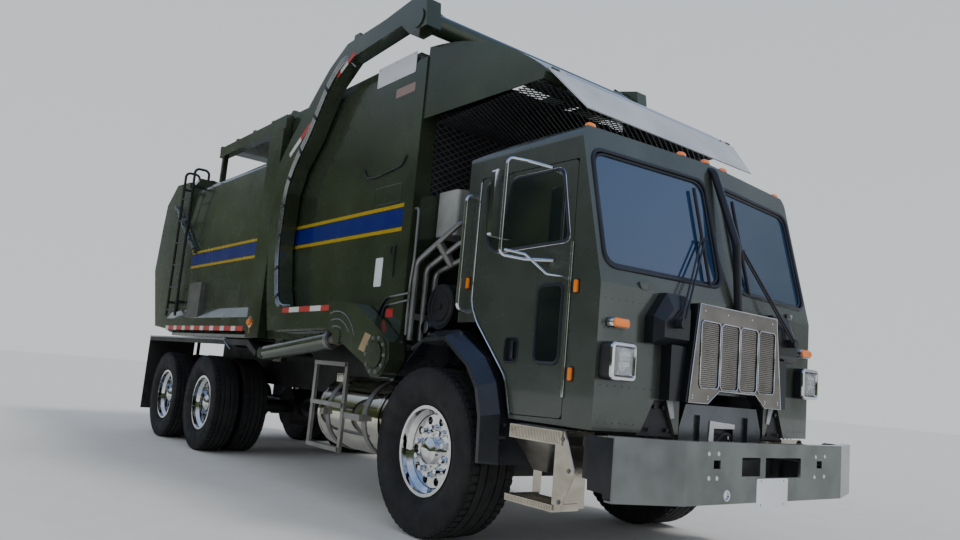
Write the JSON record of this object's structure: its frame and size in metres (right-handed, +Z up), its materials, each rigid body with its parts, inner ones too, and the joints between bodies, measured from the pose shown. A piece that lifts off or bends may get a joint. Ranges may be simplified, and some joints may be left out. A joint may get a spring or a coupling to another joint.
{
  "type": "garbage truck",
  "caption": "Front-loading garbage truck with a tilting flat-nosed cab, curved lift arms with forks, open hopper, canopy, packer body and lifting tailgate.",
  "frame": {"origin": "on the ground, under the middle of the truck's length and width", "axes": "+X forward, +Y to the truck's left, +Z up"},
  "size_m": [8.926, 2.872, 4.03],
  "materials": {
    "body_paint": "gloss",
    "chassis_black": "satin",
    "silver_paint": "gloss",
    "flap_grey": "satin",
    "polished": "polished",
    "bright": "polished",
    "steel": "satin",
    "tyre": "matte",
    "window": "clear",
    "black_plastic": "matte",
    "grey_plastic": "matte",
    "lamp": "gloss",
    "cab_lining": "matte"
  },
  "bodies": {
    "chassis": {"frame_rails": "chassis_black", "bumper": "silver_paint", "nose_panel": "silver_paint", "front_axle": "chassis_black", "rear_axles": "chassis_black", "drive_line": "chassis_black", "front_fenders": "black_plastic", "rear_fenders": "chassis_black", "cab_steps": "polished", "fuel_tank": "polished", "tank_frame": "chassis_black", "left_tanks": "chassis_black", "air_cleaner": "black_plastic", "engine_pipes": "steel", "reservoir": "grey_plastic", "hopper": "body_paint", "hopper_mesh": "chassis_black", "canopy": "body_paint", "packer_body": "body_paint", "body_ladder": "body_paint", "arm_mount": "steel"},
    "cab": {"cab_shell": "body_paint", "engine_cover": "cab_lining", "windshield": "window", "grille": "bright", "cab_lamps": "lamp", "wipers": "black_plastic", "cab_trim": "bright", "cab_inside": "cab_lining"},
    "flap": {"canopy_flap": "flap_grey"},
    "top_door": {"top_door": "body_paint"},
    "ejector": {"ejector": "steel"},
    "arms": {"lift_arms": "body_paint"},
    "forks": {"forks": "body_paint"},
    "fork_cylinder_rods": {"fork_rods": "bright"},
    "lift_cylinder_barrels": {"lift_barrels": "steel"},
    "lift_cylinder_rods": {"lift_rods": "bright"},
    "tailgate": {"tailgate": "body_paint"},
    "tail_cylinder_barrels": {"tail_barrels": "chassis_black"},
    "tail_cylinder_rods": {"tail_rods": "bright"},
    "door_left": {"door_left": "body_paint", "door_glass_left": "window", "mirror_left": "bright"},
    "knuckle_left": {"knuckle_left": "chassis_black"},
    "wheel_front_left": {"front_wheel_left": "polished", "front_tyre_left": "tyre"},
    "wheel_rear_a_left": {"rear_wheel_a_left": "polished", "rear_tyres_a_left": "tyre"},
    "wheel_rear_b_left": {"rear_wheel_b_left": "polished", "rear_tyres_b_left": "tyre"},
    "door_right": {"door_right": "body_paint", "door_glass_right": "window", "mirror_right": "bright"},
    "knuckle_right": {"knuckle_right": "chassis_black"},
    "wheel_front_right": {"front_wheel_right": "polished", "front_tyre_right": "tyre"},
    "wheel_rear_a_right": {"rear_wheel_a_right": "polished", "rear_tyres_a_right": "tyre"},
    "wheel_rear_b_right": {"rear_wheel_b_right": "polished", "rear_tyres_b_right": "tyre"}
  },
  "joints": [
    {"name": "steer_left", "type": "hinge", "parent": "chassis", "child": "knuckle_left", "pos_m": [2.667, 0.85, 0.555], "axis": [0, 0, 1], "range_deg": [-28, 28]},
    {"name": "steer_right", "type": "hinge", "parent": "chassis", "child": "knuckle_right", "pos_m": [2.667, -0.85, 0.555], "axis": [0, 0, 1], "range_deg": [-28, 28]},
    {"name": "cab_tilt", "type": "hinge", "parent": "chassis", "child": "cab", "pos_m": [3.957, 0, 0.8], "axis": [0, -1, 0], "range_deg": [-45, 0]},
    {"name": "flap_lift", "type": "hinge", "parent": "chassis", "child": "flap", "pos_m": [3.396, 0, 3.103], "axis": [0, -1, 0], "range_deg": [0, 58.5]},
    {"name": "door_left_swing", "type": "hinge", "parent": "cab", "child": "door_left", "pos_m": [3.827, 1.1095, 1.4], "axis": [0, 0, -1], "range_deg": [0, 75]},
    {"name": "door_right_swing", "type": "hinge", "parent": "cab", "child": "door_right", "pos_m": [3.827, -1.1095, 1.4], "axis": [0, 0, 1], "range_deg": [0, 75]},
    {"name": "arms_lift", "type": "hinge", "parent": "chassis", "child": "arms", "pos_m": [2.052, 0, 1.166], "axis": [0, 1, 0], "range_deg": [0, 97]},
    {"name": "forks_tilt", "type": "hinge", "parent": "arms", "child": "forks", "pos_m": [2.162, 0, 3.75], "axis": [0, 1, 0], "range_deg": [0, 90]},
    {"name": "fork_rods_slide", "type": "slide", "parent": "arms", "child": "fork_cylinder_rods", "axis": [0.9963, 0, -0.0854], "range_m": [0, 0.292]},
    {"name": "lift_barrels_turn", "type": "hinge", "parent": "chassis", "child": "lift_cylinder_barrels", "pos_m": [-0.093, 0, 1.12], "axis": [0, -1, 0], "range_deg": [0, 9.42]},
    {"name": "lift_rods_slide", "type": "slide", "parent": "lift_cylinder_barrels", "child": "lift_cylinder_rods", "axis": [0.9937, 0, 0.1119], "range_m": [0, 0.92]},
    {"name": "top_door_slide", "type": "slide", "parent": "chassis", "child": "top_door", "axis": [1, 0, 0], "range_m": [0, 2.29]},
    {"name": "ejector_slide", "type": "slide", "parent": "chassis", "child": "ejector", "axis": [-1, 0, 0], "range_m": [0, 4.4]},
    {"name": "tailgate_lift", "type": "hinge", "parent": "chassis", "child": "tailgate", "pos_m": [-3.453, 0, 3.33], "axis": [0, 1, 0], "range_deg": [0, 90]},
    {"name": "tail_barrels_turn", "type": "hinge", "parent": "chassis", "child": "tail_cylinder_barrels", "pos_m": [-2.683, 0, 2.3], "axis": [0, 1, 0], "range_deg": [0, 15.22]},
    {"name": "tail_rods_slide", "type": "slide", "parent": "tail_cylinder_barrels", "child": "tail_cylinder_rods", "axis": [-0.8321, 0, 0.5547], "range_m": [0, 0.478]},
    {"name": "wheel_front_left_spin", "type": "hinge", "parent": "knuckle_left", "child": "wheel_front_left", "pos_m": [2.667, 1.05, 0.555], "axis": [0, 1, 0], "continuous": true},
    {"name": "wheel_rear_a_left_spin", "type": "hinge", "parent": "chassis", "child": "wheel_rear_a_left", "pos_m": [-1.811, 0.9, 0.522], "axis": [0, 1, 0], "continuous": true},
    {"name": "wheel_rear_b_left_spin", "type": "hinge", "parent": "chassis", "child": "wheel_rear_b_left", "pos_m": [-3.157, 0.9, 0.522], "axis": [0, 1, 0], "continuous": true},
    {"name": "wheel_front_right_spin", "type": "hinge", "parent": "knuckle_right", "child": "wheel_front_right", "pos_m": [2.667, -1.05, 0.555], "axis": [0, 1, 0], "continuous": true},
    {"name": "wheel_rear_a_right_spin", "type": "hinge", "parent": "chassis", "child": "wheel_rear_a_right", "pos_m": [-1.811, -0.9, 0.522], "axis": [0, 1, 0], "continuous": true},
    {"name": "wheel_rear_b_right_spin", "type": "hinge", "parent": "chassis", "child": "wheel_rear_b_right", "pos_m": [-3.157, -0.9, 0.522], "axis": [0, 1, 0], "continuous": true}
  ],
  "couplings": [
    {"joint": "steer_right", "follows": "steer_left", "ratio": 1},
    {"joint": "flap_lift", "follows": "cab_tilt", "ratio": -1.3},
    {"joint": "fork_rods_slide", "follows": "forks_tilt", "m_per_rad": 0.18404},
    {"joint": "lift_barrels_turn", "follows": "arms_lift", "ratio": 0.09607},
    {"joint": "lift_rods_slide", "follows": "arms_lift", "m_per_rad": 0.54185},
    {"joint": "tail_barrels_turn", "follows": "tailgate_lift", "ratio": 0.16804},
    {"joint": "tail_rods_slide", "follows": "tailgate_lift", "m_per_rad": 0.30235}
  ]
}
